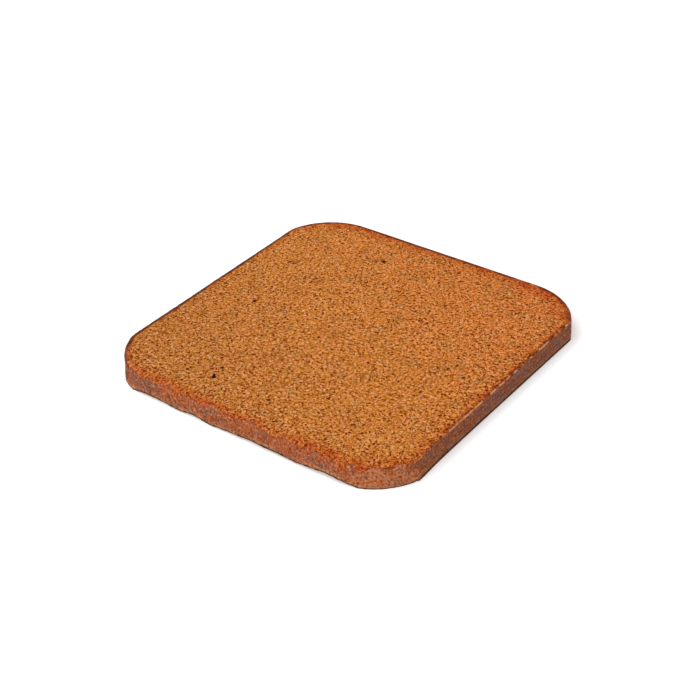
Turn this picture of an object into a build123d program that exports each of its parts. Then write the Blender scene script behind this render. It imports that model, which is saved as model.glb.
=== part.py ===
"""Stoneware floor tile, 30 x 30 x 2 cm: stamped out of an extruded clay ribbon and fired as one piece.

The ribbon runs along Y, so the two sides that face X are the straight skin left by the die. The two
sides that face Y, with the four round corners, were cut by a stamp coming down from above: it dragged
the edge of the face down as it went in, and the clay broke away along the foot as it came through.
The tile lies on its back: +Z up, origin at the middle of the underside, all sizes in millimetres.
"""
import os

from build123d import *

# The clay ribbon, as the die shapes its section
ribbon_width = 300.0
thickness = 20.0
die_bevel = 0.8  # the ribbon's four long edges

# Keying grooves for the mortar, along the ribbon's underside
groove_pitch = 18.0
groove_width = 9.0
groove_depth = 0.8
groove_flank = 60.0  # degrees between a groove's flank and the underside

# The stamp that cuts the tile off the ribbon
cut_length = 300.0
corner_radius = 59.0
stamp_overhang = 4.6  # the stamp's own side stands this far outside the ribbon
rolled_edge = 4.5  # radius of the edge that the stamp drags down

# The break along the foot of each cut: its height at even steps across the ribbon
tear_heights = (
    0.0, 0.0, 0.8, 2.7, 3.3, 2.5, 1.4, 3.2, 1.1, 1.9, 2.7,
    3.5, 3.1, 3.2, 2.4, 3.5, 4.8, 4.0, 2.6, 0.5, 0.0,
)
tear_run = 1.6  # how far the break runs in under the tile for each millimetre of its height


def clay_ribbon():
    """The extruded bar: a flat section with bevelled edges and keying grooves between the stamp's corners."""
    section = Pos(0, thickness / 2) * Rectangle(ribbon_width, thickness)
    section = chamfer(section.vertices(), die_bevel)
    straight_cut = ribbon_width + 2 * (stamp_overhang - corner_radius)
    groove_pairs = int(straight_cut / groove_pitch / 2)
    groove = Pos(0, groove_depth / 2) * Trapezoid(groove_width, groove_depth, groove_flank)
    section -= GridLocations(groove_pitch, 0, 2 * groove_pairs, 1) * groove
    return extrude(Plane.XZ * section, amount=cut_length, both=True)


def stamped_block():
    """What the stamp cuts out: a round-cornered block whose upper edge is rolled over."""
    outline = RectangleRounded(ribbon_width + 2 * stamp_overhang, cut_length, corner_radius)
    block = extrude(outline, amount=thickness)
    return fillet(block.faces().sort_by(Axis.Z)[-1].edges(), rolled_edge)


def broken_foot():
    """What breaks away along the cut that faces -Y: a wavy front that runs inward and down."""
    step = ribbon_width / (len(tear_heights) - 1)
    start = -ribbon_width / 2
    wave = Spline(*[(start + step * place, height) for place, height in enumerate(tear_heights)])
    drop = max(tear_heights)
    underneath = Polyline(wave @ 1, (-start, -drop), (start, -drop), wave @ 0)
    front = Plane.XZ.offset(cut_length / 2) * make_face([wave, underneath])
    inward = Vector(0, tear_run, -1)
    return extrude(front, amount=2 * drop * inward.length, dir=inward, both=True)


def floor_tile():
    """The finished tile: the ribbon inside the stamp's outline, less the break at both cuts."""
    foot = broken_foot()
    tile = clay_ribbon() & stamped_block()
    return tile - foot - Rot(0, 0, 180) * foot


os.makedirs("parts", exist_ok=True)
export_step(floor_tile(), "parts/floor_tile.step")
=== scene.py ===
"""Looks of an unglazed stoneware floor tile: its gritty fired skin, its studio stage and its camera.

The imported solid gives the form. A fine mesh is read off it by rays, so that the skin lies where the solid
does, and then gets the relief that a stamped and fired clay tile has.
"""
import math
from types import SimpleNamespace

import bpy
import numpy as np
from bpy.props import FloatProperty, FloatVectorProperty, PointerProperty
from mathutils import Matrix, Vector, noise
from mathutils.bvhtree import BVHTree
from mathutils.geometry import delaunay_2d_cdt


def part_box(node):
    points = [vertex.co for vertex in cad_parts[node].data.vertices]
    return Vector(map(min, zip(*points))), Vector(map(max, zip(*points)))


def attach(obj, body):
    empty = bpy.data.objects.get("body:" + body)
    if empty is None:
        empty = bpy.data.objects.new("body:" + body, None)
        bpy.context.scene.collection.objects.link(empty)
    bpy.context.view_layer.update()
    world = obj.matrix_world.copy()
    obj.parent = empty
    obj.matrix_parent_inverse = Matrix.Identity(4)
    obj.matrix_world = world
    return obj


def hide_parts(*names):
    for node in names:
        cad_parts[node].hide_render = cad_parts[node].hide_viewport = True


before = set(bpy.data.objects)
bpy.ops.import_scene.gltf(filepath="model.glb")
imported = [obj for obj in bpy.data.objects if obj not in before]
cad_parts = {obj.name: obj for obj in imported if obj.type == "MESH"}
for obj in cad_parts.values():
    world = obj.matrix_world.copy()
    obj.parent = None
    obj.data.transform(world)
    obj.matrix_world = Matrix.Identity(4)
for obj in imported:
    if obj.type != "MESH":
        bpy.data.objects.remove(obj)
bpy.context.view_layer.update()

bl_info = {
    "name": "Stoneware floor tile",
    "version": (1, 0, 0),
    "blender": (4, 5, 0),
    "location": "View3D > Sidebar > Tile",
    "description": "Dresses the solid of a stamped stoneware floor tile in its fired clay skin",
    "category": "Add Mesh",
}

MM = 0.001
NODE = "floor_tile"
HALF_WIDTH, HALF_LENGTH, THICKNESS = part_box(NODE)[1]

# Iron spots and pebbles on the wear face: plan position and radius in mm, and the tone,
# from 1 for a dark spot to -1 for a pale pebble
SPOTS = (
    (-50, -117, 2.1, 1.0),
    (-52, -114, 1.6, 0.7),
    (-47, -121, 1.6, -0.8),
    (-53, -103, 1.9, 0.8),
    (-52, -109, 1.4, 0.6),
    (8, -116, 2.5, 0.6),
    (-97, -10, 1.9, 1.0),
    (-41, 106, 2.1, 1.0),
    (120, -5, 1.8, 0.8),
    (112, 45, 1.4, 0.7),
    (-14, -24, 1.5, 0.9),
    (77, -66, 1.5, 0.7),
    (96, -109, 1.5, 0.7),
    (-101, -114, 1.6, 0.7),
    (-115, -130, 1.6, 0.7),
    (-125, -53, 1.4, 0.7),
    (103, -46, 1.8, 0.6),
    (106, -45, 1.8, -1.0),
    (55, 34, 2.2, -0.5),
)

# Rings of mesh points laid round each spot: share of its radius, and number of points
SPOT_RINGS = ((0.0, 1), (0.5, 6), (1.0, 10))

# Marks round the edge, some of the clay and some of painted light or shade: plan point and reach
BARE_EDGE = (HALF_WIDTH - 46 * MM, -HALF_LENGTH), (11 * MM, 12 * MM)  # ochre skin stops short of it
SHADED_CORNER = (HALF_WIDTH - 3 * MM, HALF_LENGTH - 30 * MM), 26 * MM  # painted shade: dark right up to its arris, where the rolled edge turns from the lamp
QUIET_CORNER = (-HALF_WIDTH + 18 * MM, -HALF_LENGTH + 22 * MM), 28 * MM  # narrow flashing
RED_RIM = (-HALF_WIDTH + 7 * MM, -HALF_LENGTH + 24 * MM), 14 * MM  # red-brown where the skin ends
UNBROKEN_HIGHLIGHT_ARRIS = (HALF_WIDTH, -HALF_LENGTH + 108 * MM), 18 * MM  # painted highlight along the arris, unbroken here
FAINT_HIGHLIGHT_ARRIS = (HALF_WIDTH, -HALF_LENGTH + 58 * MM), 22 * MM  # painted highlight along the arris, faint here
DIE_BROWN_ARRIS = (HALF_WIDTH - 1 * MM, -HALF_LENGTH + 33 * MM), 6 * MM  # the die wall's brown goes on past the arris onto the cut wall
LIT_WALL = (HALF_WIDTH - 15 * MM, -HALF_LENGTH + 16 * MM), 27 * MM  # painted light: paler where the wall turns from the lamp towards +X
SHADED_WALL = (-HALF_WIDTH + 17 * MM, -HALF_LENGTH + 13 * MM), 16 * MM  # painted shade: darker
GREY_WALL = (-HALF_WIDTH + 44 * MM, -HALF_LENGTH), (20 * MM, 16 * MM)  # more grey and fewer smears
SPREAD_FOOT = (-HALF_WIDTH + 26 * MM, -HALF_LENGTH + 9 * MM), 18 * MM  # pressed outward

FLAME_AND_SHADE_BEARING = (-0.66, 0.75)  # plan direction of the far sides, whence the kiln's flame came; their edges also get painted shade, as they turn from the lamp
BACK_BEARING = (0.6, 0.8, 0.0)  # direction in which the wear face grows warmer


def linear(code):
    """Linear red, green, blue and alpha of an sRGB hex colour such as #c07638."""
    parts = [int(code[start:start + 2], 16) / 255 for start in (1, 3, 5)]
    return (*(part / 12.92 if part <= 0.04045 else ((part + 0.055) / 1.055) ** 2.4 for part in parts), 1.0)


def length(name, description, default):
    """A length property, given in millimetres."""
    return FloatProperty(name=name, description=description, default=default * MM,
                         unit="LENGTH", precision=5)


def angle(name, description, default):
    """An angle property, given in degrees."""
    return FloatProperty(name=name, description=description, default=math.radians(default),
                         subtype="ANGLE")


def colour(name, description, default):
    """A colour property, given as an sRGB hex code."""
    return FloatVectorProperty(name=name, description=description, default=linear(default),
                               subtype="COLOR", size=4, min=0.0, max=1.0)


class TileForm(bpy.types.PropertyGroup):
    """Sizes of the skin. The first five repeat the solid's own sizes, to lay the mesh along its edges."""

    corner_radius: length("Corner radius", "Radius of the stamp's corners", 59.0)
    stamp_overhang: length("Stamp overhang", "How far the stamp's side stands outside the clay ribbon", 4.6)
    groove_pitch: length("Groove pitch", "Spacing of the keying grooves underneath", 18.0)
    groove_width: length("Groove width", "Width of a keying groove at the underside", 9.0)
    groove_floor: length("Groove floor", "Width of a keying groove at its floor", 8.08)

    mesh_pitch: length("Mesh pitch", "Spacing of the mesh on the wear face and round the edge", 1.35)
    under_pitch: length("Underside pitch", "Spacing of the mesh on the underside", 3.0)
    edge_reach: length("Edge reach", "Width of the ordered strip of mesh inside the edge", 10.0)

    grit_height: length("Grit height", "Relief of the grit on the wear face", 0.10)
    sag_height: length("Sag height", "Slow rise and fall of the wear face", 0.12)
    pit_depth: length("Pit depth", "Depth of an iron spot's pit", 0.6)
    tear_height: length("Tear height", "Roughness of the cut walls", 0.22)
    streak_height: length("Streak height", "Relief of the die's lengthwise streaks", 0.06)
    chip_depth: length("Chip depth", "Depth of the small chips along the ribbon's arris", 0.7)
    crumb_height: length("Crumb height", "Unevenness of the foot's edge", 0.5)
    lip_reach: length("Lip reach", "How far the dragged lip at the front corner stands out", 2.2)
    lip_rise: length("Lip rise", "How soon past the arris the lip stands out", 0.7)
    lip_fade: length("Lip fade", "How far along the die's side the lip dies away", 18.0)
    droop: length("Droop", "How far the front corner's arris is pressed down", 2.4)
    flare_reach: length("Flare reach", "How far the foot of the left corner spreads", 1.9)
    foot_spread: length("Foot spread", "How far the foot of the die's sides slumps into its bevel", 0.6)
    skin_border: length("Skin border", "Where the ochre skin ends, up the rolled edge", 1.5)


class ClayColours(bpy.types.PropertyGroup):
    """Colours of the fired clay, as they look in plain daylight."""

    ochre: colour("Ochre", "Body of the wear face", "#cf7d2a")
    orange: colour("Orange", "Warmer body towards the far corner of the wear face", "#d4742a")
    olive: colour("Olive", "Duller patches of the wear face", "#b87128")
    rose: colour("Rose", "Pinker patches of the wear face", "#d27645")
    dark_grit: colour("Dark grit", "Iron-brown grit and pores", "#6c2600")
    pale_grit: colour("Pale grit", "Sandy grit", "#f9b87e")
    iron: colour("Iron spot", "Burnt iron spots", "#280e02")
    pebble: colour("Pebble", "Pale pebbles in the face", "#b48478")
    flash: colour("Flash", "Orange flashing where the skin thins out", "#cb6524")
    ember: colour("Ember", "Red of the strongest flashing", "#c04c1a")
    rim: colour("Rim", "Darker red-brown where the ochre skin ends", "#782a04")
    # Painted shade: the dark brown of the far edges, which turn from the lamp
    burnt_and_shaded: colour("Burnt edge", "Edges that the flame burnt dark", "#5a2a16")
    ash: colour("Ash", "Grey-green specks of kiln ash", "#a08c5c")
    # Painted highlight along the die's arris; also the painted light of the front corner's cut wall and of
    # the die wall's foot, and the pale scraped seams
    arris: colour("Arris", "Pale rubbed arris, scuffs and scraped seams", "#f0a474")
    cut_red: colour("Cut red", "Red-brown of the cut walls", "#b56744")
    cut_grey: colour("Cut grey", "Grey-purple patches of the cut walls", "#926654")
    cut_orange: colour("Cut orange", "Orange smears on the cut walls", "#cc6128")
    die_brown: colour("Die brown", "Brown skin of the die's sides", "#9e5a3a")
    die_grey: colour("Die grey", "Purple-grey patches of the die's sides", "#8e5e52")
    # Also painted shade: the dark line along the foot, for the shadow in the gap under the wall, and the
    # darker left corner wall
    foot: colour("Foot", "Burnt line along the foot, smoke and dark streaks", "#402a22")
    under: colour("Underside", "Plain fired underside", "#a96a45")
    under_dust: colour("Kiln dust", "Paler dusting of the underside and of the cut walls' foot", "#b98a68")


class Studio(bpy.types.PropertyGroup):
    """The camera of the photograph, the light and the floor."""

    azimuth: angle("Azimuth", "Camera's bearing from the -Y side towards +X", 39.03)
    elevation: angle("Elevation", "Camera's height above the floor", 34.32)
    roll: angle("Roll", "Tilt of the picture", -3.09)
    distance: length("Distance", "From the camera to the point that it looks at", 1230.8)
    aim_x: length("Aim X", "Point on the wear face that the camera looks at", 19.7)
    aim_y: length("Aim Y", "Point on the wear face that the camera looks at", -24.5)
    lens: FloatProperty(name="Lens", description="Focal length on a 36 mm sensor, in mm", default=76.08)
    key_power: FloatProperty(name="Key light", description="Power of the large soft lamp",
                             default=216.0, unit="POWER")
    key_size: length("Key size", "Side of the large soft lamp", 4500.0)
    key_distance: length("Key distance", "From the lamp to the tile", 6000.0)
    sky: FloatProperty(name="Sky", description="Even light from all round", default=0.53)
    floor_reach: length("Floor reach", "From the tile to the floor's sides", 6000.0)
    floor_drop: length("Floor drop", "Gap that keeps the floor off the underside", 0.2)
    paper_lift: FloatProperty(name="Paper lift", description="Glow that lifts the floor to white",
                              default=0.36)


def smooth(low, high, value):
    """0 at low, 1 at high and a soft step between them."""
    share = np.clip((value - low) / (high - low), 0.0, 1.0)
    return share * share * (3.0 - 2.0 * share)


def insets(form, points):
    """How far plan points lie inside the ribbon's two sides, and inside the stamp's outline."""
    across, along = np.abs(points[:, 0]), np.abs(points[:, 1])
    corner_x = HALF_WIDTH + form.stamp_overhang - form.corner_radius
    corner_y = HALF_LENGTH - form.corner_radius
    from_corner = np.hypot(np.maximum(across - corner_x, 0.0), np.maximum(along - corner_y, 0.0))
    return HALF_WIDTH - across, form.corner_radius - from_corner


def front_arris(form):
    """Plan point of the front arris, where the stamp's corner runs out into the ribbon's side."""
    past_corner = form.corner_radius - form.stamp_overhang
    rise = math.sqrt(form.corner_radius ** 2 - past_corner ** 2)
    return HALF_WIDTH, form.corner_radius - HALF_LENGTH - rise


def groove_edges(form):
    """X of the keying grooves' edges on the +X half of the underside."""
    straight = HALF_WIDTH + form.stamp_overhang - form.corner_radius
    middles = (np.arange(int(straight / form.groove_pitch)) + 0.5) * form.groove_pitch
    offsets = np.array((-form.groove_width, -form.groove_floor, form.groove_floor, form.groove_width)) / 2
    return (middles[:, None] + offsets).ravel()


def divided(stops, pitch):
    """The stops in order, with the spans between them divided into steps of at most the pitch."""
    stops = np.unique(stops)
    steps = [np.linspace(low, high, math.ceil((high - low) / pitch), endpoint=False)
             for low, high in zip(stops, stops[1:])]
    return np.concatenate(steps + [stops[-1:]])


def outline(form):
    """Plan points round the tile, anticlockwise from the middle of +X, and the directions that they face."""
    radius = form.corner_radius
    corner_x = HALF_WIDTH + form.stamp_overhang - radius
    corner_y = HALF_LENGTH - radius
    arris_angle = math.acos((HALF_WIDTH - corner_x) / radius)
    arris_y = corner_y + radius * math.sin(arris_angle)
    side = divided((0.0, arris_y), form.mesh_pitch)[:-1]
    turn = divided((arris_angle, math.pi / 2), form.mesh_pitch / radius)[:-1]
    cut = divided((0.0, corner_x, *groove_edges(form)), form.mesh_pitch)[::-1]
    quarter = np.concatenate([
        [(HALF_WIDTH, y, 1.0, 0.0) for y in side],
        [(corner_x + radius * math.cos(a), corner_y + radius * math.sin(a), math.cos(a), math.sin(a))
         for a in turn],
        [(x, HALF_LENGTH, 0.0, 1.0) for x in cut],
    ])
    ring = np.concatenate([
        quarter[:-1],
        (quarter * (-1, 1, -1, 1))[:0:-1],
        -quarter[:-1],
        (quarter * (1, -1, 1, -1))[:0:-1],
    ])
    spread = round(form.edge_reach / form.mesh_pitch)
    facing = sum(np.roll(ring[:, 2:], shift, axis=0) for shift in range(-spread, spread + 1))
    return ring[:, :2], facing / np.linalg.norm(facing, axis=1, keepdims=True)


def edge_strip(form, solid):
    """Points of the skin within reach of the edge, a row of them down each station of the outline.

    Also gives each point's height over the foot of the wall there.
    """
    ring, facing = outline(form)
    reach = form.edge_reach
    face_rows, wall_rows = 12, 19
    crowding = 1.5  # how much closer the rows lie towards the edge
    steps = reach * np.linspace(1.0, 0.0, face_rows) ** crowding
    heights = THICKNESS * (1.0 + np.cos(np.linspace(0.0, math.pi, wall_rows + 2)[1:-1])) / 2
    aims = [(step, THICKNESS) for step in steps]
    aims += [(0.0, height) for height in heights]
    aims += [(step, 0.0) for step in steps[::-1]]
    strip = np.empty((len(ring), len(aims), 3))
    over_foot = np.empty((len(ring), len(aims)))
    overhang = -0.3  # a normal that points further down than this is under the foot
    for station, (place, out) in enumerate(zip(ring, facing)):
        pivot = Vector((*(place - out * reach), THICKNESS / 2))
        for row, (inset, height) in enumerate(aims):
            aim = Vector((*(place - out * inset), height))
            strip[station, row], normal, _, _ = solid.ray_cast(pivot, aim - pivot)
            if normal.z > overhang:
                foot = strip[station, row, 2]
        over_foot[station] = strip[station, :, 2] - foot
    return strip, over_foot


def face_points(form):
    """Plan points of the wear face inside the edge strip: a jittered grid, closer round the iron spots."""
    spacing = form.mesh_pitch
    jitter = 0.3  # share of the spacing
    clearing = 1.5  # spot radii
    generator = np.random.default_rng(seed=7)
    xs = np.arange(-HALF_WIDTH, HALF_WIDTH, spacing)
    ys = np.arange(-HALF_LENGTH, HALF_LENGTH, spacing)
    grid = np.stack(np.meshgrid(xs, ys), -1).reshape(-1, 2)
    grid += generator.uniform(-jitter, jitter, grid.shape) * spacing
    rings = []
    for x, y, radius, _ in SPOTS:
        centre = np.array((x, y)) * MM
        grid = grid[np.linalg.norm(grid - centre, axis=1) > clearing * radius * MM]
        for share, count in SPOT_RINGS:
            turn = np.linspace(0.0, 2 * math.pi, count, endpoint=False)
            rings.append(centre + share * radius * MM * np.stack((np.cos(turn), np.sin(turn)), 1))
    points = np.concatenate([grid, *rings])
    inside = np.min(insets(form, points), axis=0) > form.edge_reach + 0.7 * spacing
    return points[inside]


def underside_points(form):
    """Plan points of the underside inside the edge strip, in rows along the keying grooves."""
    edges = groove_edges(form)
    xs = divided((-HALF_WIDTH, HALF_WIDTH, *edges, *-edges), form.under_pitch)
    ys = np.arange(-HALF_LENGTH, HALF_LENGTH, form.under_pitch)
    points = np.stack(np.meshgrid(xs, ys), -1).reshape(-1, 2)
    inside = np.min(insets(form, points), axis=0) > form.edge_reach + 0.5 * form.under_pitch
    return points[inside]


def filled(ring, ring_ids, inner, first_inner_id):
    """Triangles that fill a ring of plan points, using the inner points too."""
    count = len(ring)
    loop = [(k, (k + 1) % count) for k in range(count)]
    points = [Vector(p) for p in np.concatenate([ring, inner])]
    inside_only, tolerance = 1, 1e-7
    made, _, triangles, sources, _, _ = delaunay_2d_cdt(points, loop, [], inside_only, tolerance)
    if len(made) != len(points):
        raise RuntimeError("mesh points of a face coincide")
    ids = [ring_ids[s[0]] if s[0] < count else first_inner_id + s[0] - count for s in sources]
    return [tuple(ids[corner] for corner in triangle) for triangle in triangles]


def skin_mesh(form):
    """A closed fine mesh that lies on the solid, and what is known of its points before they are moved."""
    solid = BVHTree.FromObject(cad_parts[NODE], bpy.context.evaluated_depsgraph_get())
    strip, over_foot = edge_strip(form, solid)
    stations, rows, _ = strip.shape
    ids = np.arange(stations * rows).reshape(stations, rows)
    after = np.roll(ids, -1, axis=0)
    corners = (ids[:, :-1], ids[:, 1:], after[:, 1:], after[:, :-1])
    faces = [tuple(face) for face in np.stack(corners, -1).reshape(-1, 4).tolist()]

    top = face_points(form)
    first = stations * rows
    faces += filled(strip[:, 0, :2], ids[:, 0].tolist(), top, first)
    top = np.column_stack((top, np.full(len(top), THICKNESS)))

    below = underside_points(form)
    first += len(top)
    faces += [face[::-1] for face in filled(strip[:, -1, :2], ids[:, -1].tolist(), below, first)]
    up = Vector((0.0, 0.0, 1.0))
    below = np.array([solid.ray_cast(Vector((x, y, -THICKNESS)), up)[0] for x, y in below])

    mesh = bpy.data.meshes.new(NODE)
    mesh.from_pydata(np.concatenate([strip.reshape(-1, 3), top, below]), [], faces)
    mesh.update()
    inner = np.full(len(top) + len(below), THICKNESS)
    return mesh, SimpleNamespace(over_foot=np.concatenate([over_foot.ravel(), inner]))


def near(points, centre, reach):
    """1 at a plan point, falling off to nothing a few reaches away."""
    away = points[:, :2] - np.asarray(centre)
    return np.exp(-np.sum((away / reach) ** 2, axis=1))


def survey(form, mesh, skin):
    """Adds to what is known of the skin's points where each of them lies on the tile."""
    count = len(mesh.vertices)
    points = np.empty(count * 3)
    normals = np.empty(count * 3)
    mesh.vertices.foreach_get("co", points)
    mesh.vertex_normals.foreach_get("vector", normals)
    skin.points = points.reshape(-1, 3)
    skin.normals = normals.reshape(-1, 3)
    skin.depth = THICKNESS - skin.points[:, 2]
    die_inset, stamp_inset = insets(form, skin.points)
    skin.inset = np.minimum(die_inset, stamp_inset)
    skin.run = skin.inset - skin.depth  # above zero in over the face, below zero down the wall
    skin.front = near(skin.points, front_arris(form), 14 * MM)
    dragged = 3 * MM * skin.front * skin.depth / THICKNESS
    skin.die_side = smooth(-1.0 * MM, 1.0 * MM, stamp_inset - die_inset - dragged)
    skin.cut_side = 1.0 - skin.die_side
    skin.face = smooth(0.5, 0.95, skin.normals[:, 2])
    skin.underside = smooth(0.3, 0.8, -skin.normals[:, 2])
    skin.wall = 1.0 - skin.face - skin.underside
    skin.spots = np.zeros(count)
    for x, y, radius, tone in SPOTS:
        skin.spots += tone * near(skin.points, (x * MM, y * MM), radius * MM) * skin.face


def clay_noise(points, size, octaves=2, draw=0.0):
    """Noise from about -1 to 1 at each point, with features of a size, which may differ by axis.

    Another draw gives another noise of the same kind.
    """
    fall, step = 1.0, 2.0  # how fast the octaves grow weaker and finer
    places = (points + draw) / np.asarray(size)
    return np.array([noise.fractal(Vector(place), fall, step, octaves) for place in places])


def grain(form, skin):
    """Relief along the normal: grit and pits, torn and drawn walls, and chips along the ribbon's arris."""
    points = skin.points
    grit = form.grit_height * clay_noise(points, 2.8 * MM)
    grit += form.sag_height * clay_noise(points, 45 * MM)
    pits = form.pit_depth * np.maximum(skin.spots, 0.0)
    torn = form.tear_height * clay_noise(points, 8 * MM, octaves=4)
    drawn = form.streak_height * clay_noise(points, (1.5 * MM, 60 * MM, 1.5 * MM))
    drawn += form.grit_height * clay_noise(points, 5 * MM, octaves=3)
    baked = form.grit_height * clay_noise(points, 6 * MM, octaves=3)
    relief = skin.face * (grit - pits) + skin.underside * baked
    relief += skin.wall * (skin.cut_side * torn + skin.die_side * drawn)
    arris = skin.die_side * smooth(2.2 * MM, 0.3 * MM, skin.inset + skin.depth)
    chips = np.maximum(clay_noise(points, (30 * MM, 6 * MM, 30 * MM), draw=7.0) - 0.2, 0.0)
    return relief - arris * form.chip_depth * chips


def raise_relief(form, mesh, skin):
    """Moves the mesh by the clay's grain, and by what the stamp dragged, spread and crumbled at the edge."""
    points, normals = skin.points, skin.normals
    height = points[:, 2]
    outer = smooth(6 * MM, 0.0, skin.inset)
    arris_x, arris_y = front_arris(form)
    past = np.where(points[:, 0] > 0.0, np.maximum(points[:, 1] - arris_y, 0.0), 0.0)
    lip = form.lip_reach * (1.0 - np.exp(-past / form.lip_rise)) * np.exp(-past / form.lip_fade)
    lip *= smooth(7 * MM, 0.0, height) * outer
    droop = form.droop * near(points, (arris_x, arris_y + 7 * MM), 7 * MM)
    droop *= smooth(8 * MM, 18 * MM, height)
    flare = form.flare_reach * near(points, *SPREAD_FOOT)
    flare *= smooth(13 * MM, 0.0, height) * outer
    toe = smooth(1.8 * MM, 0.3 * MM, height) * smooth(3 * MM, 0.0, skin.inset)
    flare += form.foot_spread * skin.die_side * toe
    foot_edge = skin.cut_side * smooth(3 * MM, 0.0, np.abs(skin.over_foot))
    crumbs = form.crumb_height * clay_noise(points, 3.5 * MM) * foot_edge

    level = normals * (1.0, 1.0, 0.0)
    moved = points + normals * grain(form, skin)[:, None] + level * flare[:, None]
    moved += np.stack((lip - 0.5 * droop, np.zeros(len(points)), crumbs - droop), 1)
    moved[:, 2] = np.clip(moved[:, 2], 0.0, THICKNESS + form.sag_height)
    mesh.vertices.foreach_set("co", moved.ravel())
    mesh.update()


def fire_notes(form, skin):
    """What the fire left, in mm from where the ochre skin ends: its flashing and its rim; and painted shade
    on the far edges, which turn from the lamp.
    """
    points = skin.points
    ragged = clay_noise(points, 11 * MM, octaves=3)
    patchy = clay_noise(points, 22 * MM, draw=3.0)
    dotted = clay_noise(points, 5 * MM, draw=6.0)
    run = skin.run / MM
    border = form.skin_border / MM + 4.5 * ragged + 2.5 * near(points, *BARE_EDGE)
    margin = run - border * skin.cut_side + 2.5 * skin.front

    # the far sides and one corner: the flashing there differs, and their edges get painted shade
    flame = smooth(-0.4, 0.25, points[:, :2] @ FLAME_AND_SHADE_BEARING / HALF_LENGTH)
    flame = np.maximum(flame, near(points, *SHADED_CORNER) * skin.cut_side)
    shaded_run = run - 2.2 * skin.cut_side
    fading = shaded_run + 2.5 * ragged + 1.5 * patchy
    # painted shade down the far sides' rolled edge and the top of their wall, ragged at its lower side
    burn_and_shade = flame * smooth(5.8, 2.6, shaded_run) * smooth(-7.0, -1.0, fading)
    flash = margin + 6.0 * patchy + 7.0 * near(points, *QUIET_CORNER)
    flash += (3.0 + 3.0 * flame) * skin.die_side - 4.0 * flame * skin.cut_side
    rimmed = skin.die_side + 1.2 * near(points, *RED_RIM) * skin.cut_side
    return {
        "margin": margin,
        "flash": flash,
        "coarse": smooth(28.0, 3.0, margin) * (1.0 - 0.7 * flame),
        "rim": rimmed * smooth(4.6, 1.5, margin) * smooth(-0.5, 0.2, dotted),
        # painted shade on the far edges, and its patchy part
        "burn_and_shade": burn_and_shade,
        "scorch_and_shade": burn_and_shade * (0.3 + 0.5 * patchy),
    }


def wall_notes(skin):
    """How the walls end at arris and foot, in mm, and where they get a painted highlight along the arris, a
    painted shade line along the foot, painted light or painted shade at the front corners, the die's brown
    past the arris, or more grey.
    """
    points = skin.points
    over_foot = skin.over_foot / MM
    foot_line = 2.4 * skin.die_side + 1.5 * skin.cut_side
    broken = clay_noise(points, (30 * MM, 9 * MM, 30 * MM), draw=5.0)
    highlit = np.maximum(smooth(-0.3, 0.2, broken), near(points, *UNBROKEN_HIGHLIGHT_ARRIS))
    highlit *= 1.0 - 0.7 * near(points, *FAINT_HIGHLIGHT_ARRIS)
    past_arris = near(points, *DIE_BROWN_ARRIS) * smooth(13.0, 6.0, skin.depth / MM)
    return {
        "over_foot": over_foot,
        # painted shade: a dark line along the foot, for the shadow in the gap under the wall
        "foot": smooth(foot_line, 0.3 * foot_line, over_foot) * (1.0 - skin.underside),
        "seam": skin.cut_side * skin.wall * smooth(1.8, 0.4, np.abs(over_foot - 2.4)),
        # painted highlight along the die's arris, broken in places
        "arris": skin.die_side * smooth(1.5, 0.4, np.abs(skin.run / MM + 0.3)) * highlit,
        "die_brown_patch": past_arris * skin.wall,
        # painted light on the front corner's wall
        "painted_light": near(points, *LIT_WALL) * skin.wall * skin.cut_side,
        # painted shade on the left corner's wall
        "painted_shade": near(points, *SHADED_WALL) * skin.wall,
        "ash": near(points, *GREY_WALL),
    }


def note_finish(form, mesh, skin):
    """Notes on each point of the mesh what the clay's finish needs of it, and gives the notes' names."""
    notes = fire_notes(form, skin) | wall_notes(skin)
    for name in ("die_side", "cut_side", "underside", "spots"):
        notes[name] = getattr(skin, name)
    for name, values in notes.items():
        attribute = mesh.attributes.new(name, "FLOAT", "POINT")
        attribute.data.foreach_set("value", values.astype(np.float32))
    return list(notes)


def add(tree, kind, inputs=None, **settings):
    """Adds a node with its settings, sets or links its inputs, and gives back its outputs."""
    made = tree.nodes.new(kind)
    for name, value in settings.items():
        setattr(made, name, value)
    for name, value in (inputs or {}).items():
        if isinstance(value, bpy.types.NodeSocket):
            tree.links.new(value, made.inputs[name])
        else:
            made.inputs[name].default_value = value
    return made.outputs


def stain(tree, ground, tint, field, low, high, most=1.0, within=None):
    """Blends a tint into a ground colour as a field runs from low to high, at most by a share of it."""
    share = add(tree, "ShaderNodeMapRange", {
        "Value": field, "From Min": low, "From Max": high, "To Max": most,
    }, interpolation_type="SMOOTHSTEP")[0]
    if within is not None:
        share = add(tree, "ShaderNodeMath", {0: share, 1: within}, operation="MULTIPLY")[0]
    return add(tree, "ShaderNodeMix", {0: share, 6: ground, 7: tint}, data_type="RGBA")[2]


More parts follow.
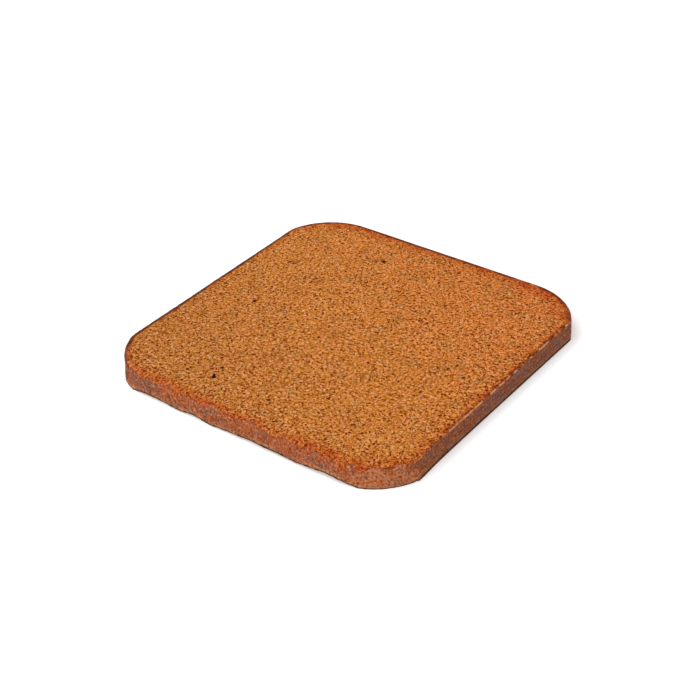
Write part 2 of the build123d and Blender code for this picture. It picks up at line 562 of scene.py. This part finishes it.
def wear_face(tree, clay, place, grit, tatters, noted):
    """Ochre skin, warmer towards the back, flashed red at its edges, full of dark pores and sandy grit."""
    far = add(tree, "ShaderNodeVectorMath", {0: place, 1: BACK_BEARING}, operation="DOT_PRODUCT")["Value"]
    cloud = add(tree, "ShaderNodeTexNoise", {"Vector": place, "Scale": 1 / (18 * MM), "Detail": 2.0})[0]
    tinge = add(tree, "ShaderNodeTexNoise", {"Vector": place, "Scale": 1 / (5 * MM), "Detail": 1.0})[0]
    specks = add(tree, "ShaderNodeTexVoronoi", {
        "Vector": place, "Scale": 1 / (24 * MM),
    }, voronoi_dimensions="2D")
    patches = add(tree, "ShaderNodeTexNoise", {"Vector": place, "Scale": 1 / (8 * MM), "Detail": 2.0})[0]
    patches = add(tree, "ShaderNodeMapRange", {"Value": patches, "From Min": 0.47, "From Max": 0.58})[0]
    pores = add(tree, "ShaderNodeTexVoronoi", {"Vector": place, "Scale": 1 / (3.2 * MM)})
    flash = add(tree, "ShaderNodeMath", {
        0: tatters, 1: 6.0, 2: noted["flash"],
    }, operation="MULTIPLY_ADD")[0]
    skin = stain(tree, clay.ochre, clay.orange, far, -20 * MM, 170 * MM)
    skin = stain(tree, skin, clay.olive, far, 20 * MM, -170 * MM, 0.8)
    skin = stain(tree, skin, clay.olive, cloud, 0.52, 0.34, 0.8)
    skin = stain(tree, skin, clay.rose, tinge, 0.5, 0.68, 0.7)
    skin = stain(tree, skin, clay.ash, specks["Distance"], 0.2, 0.06, 0.5, within=specks["Color"])
    skin = stain(tree, skin, clay.pale_grit, grit, 0.52, 0.67, 0.45)
    skin = stain(tree, skin, clay.flash, flash, 19.0, 6.0, 0.7)
    skin = stain(tree, skin, clay.flash, flash, 12.0, 6.0, 0.9, within=cloud)
    skin = stain(tree, skin, clay.ember, flash, 10.0, 5.0, 0.9, within=patches)
    skin = stain(tree, skin, clay.rim, noted["rim"], 0.0, 1.0, 0.95)
    skin = stain(tree, skin, clay.pale_grit, grit, 0.54, 0.68, 0.3)
    skin = stain(tree, skin, clay.dark_grit, grit, 0.48, 0.35)
    skin = stain(tree, skin, clay.dark_grit, grit, 0.52, 0.38, 0.7, within=noted["coarse"])
    skin = stain(tree, skin, clay.dark_grit, pores["Distance"], 0.34, 0.12, 0.9, within=pores["Color"])
    skin = stain(tree, skin, clay.iron, noted["spots"], 0.2, 0.6)
    return stain(tree, skin, clay.pebble, noted["spots"], -0.2, -0.7, 0.8)


def cut_wall(tree, clay, place, flecks, noted):
    """Red-brown cut clay with grey-purple patches, orange smears and flecks of grit, dusty near the foot."""
    long = add(tree, "ShaderNodeMapping", {"Vector": place, "Scale": (0.6, 0.6, 1.2)})[0]
    patches = add(tree, "ShaderNodeTexNoise", {"Vector": long, "Scale": 1 / (11 * MM), "Detail": 3.0})[0]
    patches = add(tree, "ShaderNodeMath", {
        0: noted["ash"], 1: 0.16, 2: patches,
    }, operation="MULTIPLY_ADD")[0]
    smears = add(tree, "ShaderNodeTexNoise", {"Vector": long, "Scale": 1 / (6 * MM), "Detail": 3.0})[0]
    smears = add(tree, "ShaderNodeMath", {
        0: noted["ash"], 1: -0.08, 2: smears,
    }, operation="MULTIPLY_ADD")[0]
    # painted light on the front corner's wall
    skin = stain(tree, clay.cut_red, clay.arris, noted["painted_light"], 0.0, 1.0, 0.38)
    skin = stain(tree, skin, clay.cut_grey, patches, 0.46, 0.64, 0.85)
    skin = stain(tree, skin, clay.cut_orange, smears, 0.5, 0.64, 0.85)
    skin = stain(tree, skin, clay.ember, smears, 0.44, 0.3, 0.4)
    skin = stain(tree, skin, clay.arris, smears, 0.44, 0.58, 0.5, within=noted["seam"])
    skin = stain(tree, skin, clay.rim, noted["margin"], -6.0, 0.0, 0.4)
    # painted shade on the left corner's wall
    skin = stain(tree, skin, clay.rim, noted["margin"], -8.0, -2.0, 0.9, within=noted["painted_shade"])
    skin = stain(tree, skin, clay.foot, noted["painted_shade"], 0.0, 0.9, 0.45)
    skin = stain(tree, skin, clay.under_dust, noted["over_foot"], 6.0, 1.0, 0.35)
    skin = stain(tree, skin, clay.dark_grit, flecks, 0.48, 0.34, 0.7)
    return stain(tree, skin, clay.pale_grit, flecks, 0.55, 0.68, 0.45)


def die_wall(tree, clay, place, flecks, noted):
    """Brown skin that the die drew smooth, in faint lengthwise streaks, greyer towards the back."""
    drawn = add(tree, "ShaderNodeMapping", {"Vector": place, "Scale": (1.0, 0.06, 1.0)})[0]
    streaks = add(tree, "ShaderNodeTexNoise", {"Vector": drawn, "Scale": 1 / (2.0 * MM), "Detail": 2.0})[0]
    patches = add(tree, "ShaderNodeTexNoise", {"Vector": place, "Scale": 1 / (9 * MM), "Detail": 3.0})[0]
    smears = add(tree, "ShaderNodeTexNoise", {"Vector": place, "Scale": 1 / (6 * MM), "Detail": 2.0})[0]
    back = add(tree, "ShaderNodeSeparateXYZ", {0: place})["Y"]
    greyness = add(tree, "ShaderNodeMath", {0: back, 1: 0.8, 2: patches}, operation="MULTIPLY_ADD")[0]
    skin = stain(tree, clay.die_brown, clay.die_grey, greyness, 0.42, 0.58)
    skin = stain(tree, skin, clay.cut_red, smears, 0.52, 0.7, 0.4)
    # painted light: paler towards the foot, where the floor shades the wall
    skin = stain(tree, skin, clay.arris, noted["over_foot"], 7.0, 2.0, 0.2)
    skin = stain(tree, skin, clay.foot, streaks, 0.46, 0.28, 0.5)
    skin = stain(tree, skin, clay.foot, flecks, 0.47, 0.33, 0.6)
    return stain(tree, skin, clay.pale_grit, flecks, 0.55, 0.72, 0.35)


def underside(tree, clay, place, flecks, noted):
    """Fired clay, streaked lengthwise, dusted with sand, darker in its grooves and flashed at its rim."""
    drawn = add(tree, "ShaderNodeMapping", {"Vector": place, "Scale": (1.0, 0.05, 1.0)})[0]
    streaks = add(tree, "ShaderNodeTexNoise", {"Vector": drawn, "Scale": 1 / (4 * MM), "Detail": 4.0})[0]
    dust = add(tree, "ShaderNodeTexNoise", {
        "Vector": place, "Scale": 1 / (35 * MM), "Detail": 8.0, "Roughness": 0.7,
    })[0]
    height = add(tree, "ShaderNodeSeparateXYZ", {0: place})["Z"]
    skin = stain(tree, clay.under, clay.cut_red, streaks, 0.48, 0.66, 0.6)
    skin = stain(tree, skin, clay.die_grey, streaks, 0.5, 0.32, 0.6)
    skin = stain(tree, skin, clay.under_dust, dust, 0.42, 0.7, 0.8)
    skin = stain(tree, skin, clay.flash, noted["margin"], -8.0, -19.0, 0.3)
    skin = stain(tree, skin, clay.foot, height, 0.2 * MM, 0.8 * MM, 0.3)
    skin = stain(tree, skin, clay.pale_grit, flecks, 0.56, 0.7, 0.25)
    return stain(tree, skin, clay.dark_grit, flecks, 0.46, 0.3, 0.6)


def unglazed_stoneware(clay, names):
    """Unglazed stoneware, extruded, stamped and fired, with the notes of those names on its mesh.

    The surface is dry and gritty, so the eye gets speckled colour and next to no gloss. The grit is drawn
    about 2 mm across: the finer part of it is too small to show.
    """
    material = bpy.data.materials.new("unglazed stoneware")
    material.use_nodes = True
    tree = material.node_tree
    tree.nodes.clear()
    place = add(tree, "ShaderNodeTexCoord")["Object"]
    grit = add(tree, "ShaderNodeTexNoise", {
        "Vector": place, "Scale": 1 / (2.0 * MM), "Detail": 1.0, "Distortion": 1.0,
    })[0]
    flecks = add(tree, "ShaderNodeTexNoise", {"Vector": place, "Scale": 1 / (1.8 * MM), "Detail": 2.0})[0]
    tatters = add(tree, "ShaderNodeTexNoise", {"Vector": place, "Scale": 1 / (4 * MM), "Detail": 3.0})[0]
    noted = {name: add(tree, "ShaderNodeAttribute", attribute_name=name)["Fac"] for name in names}
    ragged = add(tree, "ShaderNodeMath", {
        0: tatters, 1: 14.0, 2: noted["margin"],
    }, operation="MULTIPLY_ADD")[0]
    # painted shade of the far edges, ragged by the tatters
    burn_and_shade = add(tree, "ShaderNodeMath", {0: tatters, 1: noted["burn_and_shade"]}, operation="MULTIPLY")[0]
    burn_and_shade = add(tree, "ShaderNodeMath", {0: burn_and_shade, 1: 1.2, 2: noted["scorch_and_shade"]}, operation="MULTIPLY_ADD")[0]
    die_brown_patch = add(tree, "ShaderNodeMath", {0: tatters, 1: noted["die_brown_patch"]}, operation="MULTIPLY")[0]
    dashes = add(tree, "ShaderNodeMapRange", {"Value": tatters, "From Min": 0.36, "From Max": 0.54})[0]

    cut = cut_wall(tree, clay, place, flecks, noted)
    drawn = die_wall(tree, clay, place, flecks, noted)
    skin = wear_face(tree, clay, place, grit, tatters, noted)
    skin = stain(tree, skin, cut, ragged, 8.0, 6.2, within=noted["cut_side"])
    skin = stain(tree, skin, drawn, noted["margin"], 0.0, -1.0, within=noted["die_side"])
    # the die wall's brown carried onto the cut wall by the front arris
    skin = stain(tree, skin, drawn, die_brown_patch, 0.15, 0.45, 0.8, within=noted["cut_side"])
    # painted highlight along the die's arris, in dashes
    skin = stain(tree, skin, clay.arris, noted["arris"], 0.0, 1.0, within=dashes)
    # painted shade of the far edges, with red flecks in it
    skin = stain(tree, skin, clay.burnt_and_shaded, burn_and_shade, 0.35, 0.9, 0.9)
    skin = stain(tree, skin, clay.ember, flecks, 0.52, 0.68, 0.5, within=noted["burn_and_shade"])
    # painted shade along the foot
    skin = stain(tree, skin, clay.foot, noted["foot"], 0.1, 0.9, 0.85)
    skin = stain(tree, skin, underside(tree, clay, place, flecks, noted), noted["underside"], 0.3, 0.9)

    bump = add(tree, "ShaderNodeBump", {"Strength": 0.6, "Distance": 0.3 * MM, "Height": grit})[0]
    clay_body = add(tree, "ShaderNodeBsdfPrincipled", {
        "Base Color": skin, "Normal": bump, "Roughness": 0.95, "IOR": 1.5, "Specular IOR Level": 0.05,
    })[0]
    add(tree, "ShaderNodeOutputMaterial", {"Surface": clay_body})
    return material


def seen_directly(tree, otherwise, direct):
    """One strength for what is seen, straight or in gloss or glass, and another for what lights the tile."""
    path = add(tree, "ShaderNodeLightPath")
    shown = path["Is Camera Ray"]
    for ray in ("Is Glossy Ray", "Is Transmission Ray"):
        shown = add(tree, "ShaderNodeMath", {0: shown, 1: path[ray]}, operation="MAXIMUM")[0]
    return add(tree, "ShaderNodeMapRange", {"Value": shown, "To Min": otherwise, "To Max": direct})[0]


def studio_paper(studio):
    """White studio paper: matt, lifted to white for the eye, and grey where the tile shades it."""
    material = bpy.data.materials.new("white studio paper")
    material.use_nodes = True
    tree = material.node_tree
    tree.nodes.clear()
    sheet = add(tree, "ShaderNodeBsdfDiffuse", {"Color": linear("#f3f3f3"), "Roughness": 1.0})[0]
    lift = add(tree, "ShaderNodeEmission", {"Strength": seen_directly(tree, 0.0, studio.paper_lift)})[0]
    both = add(tree, "ShaderNodeAddShader", {0: sheet, 1: lift})[0]
    add(tree, "ShaderNodeOutputMaterial", {"Surface": both})
    return material


class STONEWARE_OT_tile(bpy.types.Operator):
    """Make the tile's fired clay skin over its solid"""

    bl_idname = "stoneware.tile"
    bl_label = "Make the tile"

    def execute(self, context):
        form = context.scene.tile_form
        mesh, skin = skin_mesh(form)
        survey(form, mesh, skin)
        raise_relief(form, mesh, skin)
        names = note_finish(form, mesh, skin)
        mesh.polygons.foreach_set("use_smooth", [True] * len(mesh.polygons))
        mesh.materials.append(unglazed_stoneware(context.scene.clay_colours, names))
        tile = bpy.data.objects.new("stoneware_tile", mesh)
        context.scene.collection.objects.link(tile)
        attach(tile, "root")
        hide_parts(NODE)
        return {"FINISHED"}


class STONEWARE_OT_stage(bpy.types.Operator):
    """Set the floor, the light and the camera"""

    bl_idname = "stoneware.stage"
    bl_label = "Set the stage"

    def execute(self, context):
        studio = context.scene.studio
        self.lay_floor(context, studio)
        self.hang_lights(context, studio)
        self.set_camera(context, studio)
        context.scene.view_settings.view_transform = "Standard"
        return {"FINISHED"}

    def lay_floor(self, context, studio):
        """A wide sheet of paper, a hair below the tile so that the two faces don't meet."""
        half, drop = studio.floor_reach, studio.floor_drop
        corners = [(-half, -half, -drop), (half, -half, -drop), (half, half, -drop), (-half, half, -drop)]
        mesh = bpy.data.meshes.new("floor")
        mesh.from_pydata(corners, [], [(0, 1, 2, 3)])
        mesh.materials.append(studio_paper(studio))
        floor = bpy.data.objects.new("floor", mesh)
        context.scene.collection.objects.link(floor)

    def hang_lights(self, context, studio):
        """A white sky all round, and a large soft lamp from the front left."""
        world = bpy.data.worlds.new("studio")
        world.use_nodes = True
        tree = world.node_tree
        tree.nodes.clear()
        sky = add(tree, "ShaderNodeBackground", {
            "Color": linear("#ffffff"), "Strength": seen_directly(tree, studio.sky, 1.0),
        })[0]
        add(tree, "ShaderNodeOutputWorld", {"Surface": sky})
        context.scene.world = world
        lamp = bpy.data.lights.new("key", "AREA")
        lamp.energy = studio.key_power
        lamp.size = studio.key_size
        key = bpy.data.objects.new("key", lamp)
        toward = Vector((-0.35, -0.48, 1.0)).normalized()
        key.location = toward * studio.key_distance
        key.rotation_euler = toward.to_track_quat("Z", "Y").to_euler()
        context.scene.collection.objects.link(key)

    def set_camera(self, context, studio):
        """The photograph's camera, which is tilted a little."""
        turn, lift, roll = studio.azimuth, studio.elevation, studio.roll
        right = Vector((math.cos(turn), math.sin(turn), 0.0))
        back = Vector((math.sin(turn) * math.cos(lift), -math.cos(turn) * math.cos(lift), math.sin(lift)))
        up = back.cross(right)
        across = right * math.cos(roll) + up * math.sin(roll)
        upright = up * math.cos(roll) - right * math.sin(roll)
        lens = bpy.data.cameras.new("camera")
        lens.sensor_width = 36.0
        lens.lens = studio.lens
        camera = bpy.data.objects.new("camera", lens)
        place = Matrix((across, upright, back)).transposed().to_4x4()
        place.translation = Vector((studio.aim_x, studio.aim_y, THICKNESS)) + back * studio.distance
        camera.matrix_world = place
        context.scene.collection.objects.link(camera)
        context.scene.camera = camera


class STONEWARE_PT_tile(bpy.types.Panel):
    """Sizes and colours of the tile, and the steps that make it"""

    bl_label = "Stoneware floor tile"
    bl_space_type = "VIEW_3D"
    bl_region_type = "UI"
    bl_category = "Tile"

    def draw(self, context):
        for group in (context.scene.tile_form, context.scene.clay_colours, context.scene.studio):
            box = self.layout.box()
            for name in group.__annotations__:
                box.prop(group, name)
        self.layout.operator("stoneware.tile")
        self.layout.operator("stoneware.stage")


CLASSES = (TileForm, ClayColours, Studio, STONEWARE_OT_tile, STONEWARE_OT_stage, STONEWARE_PT_tile)


def register():
    """Registers the classes and hangs the properties on the scene."""
    for made in CLASSES:
        bpy.utils.register_class(made)
    bpy.types.Scene.tile_form = PointerProperty(type=TileForm)
    bpy.types.Scene.clay_colours = PointerProperty(type=ClayColours)
    bpy.types.Scene.studio = PointerProperty(type=Studio)


def unregister():
    """Takes the properties and the classes away again."""
    del bpy.types.Scene.studio
    del bpy.types.Scene.clay_colours
    del bpy.types.Scene.tile_form
    for made in reversed(CLASSES):
        bpy.utils.unregister_class(made)


def main():
    """Makes the tile and its stage."""
    register()
    bpy.ops.stoneware.tile()
    bpy.ops.stoneware.stage()


if __name__ == "__main__":
    main()
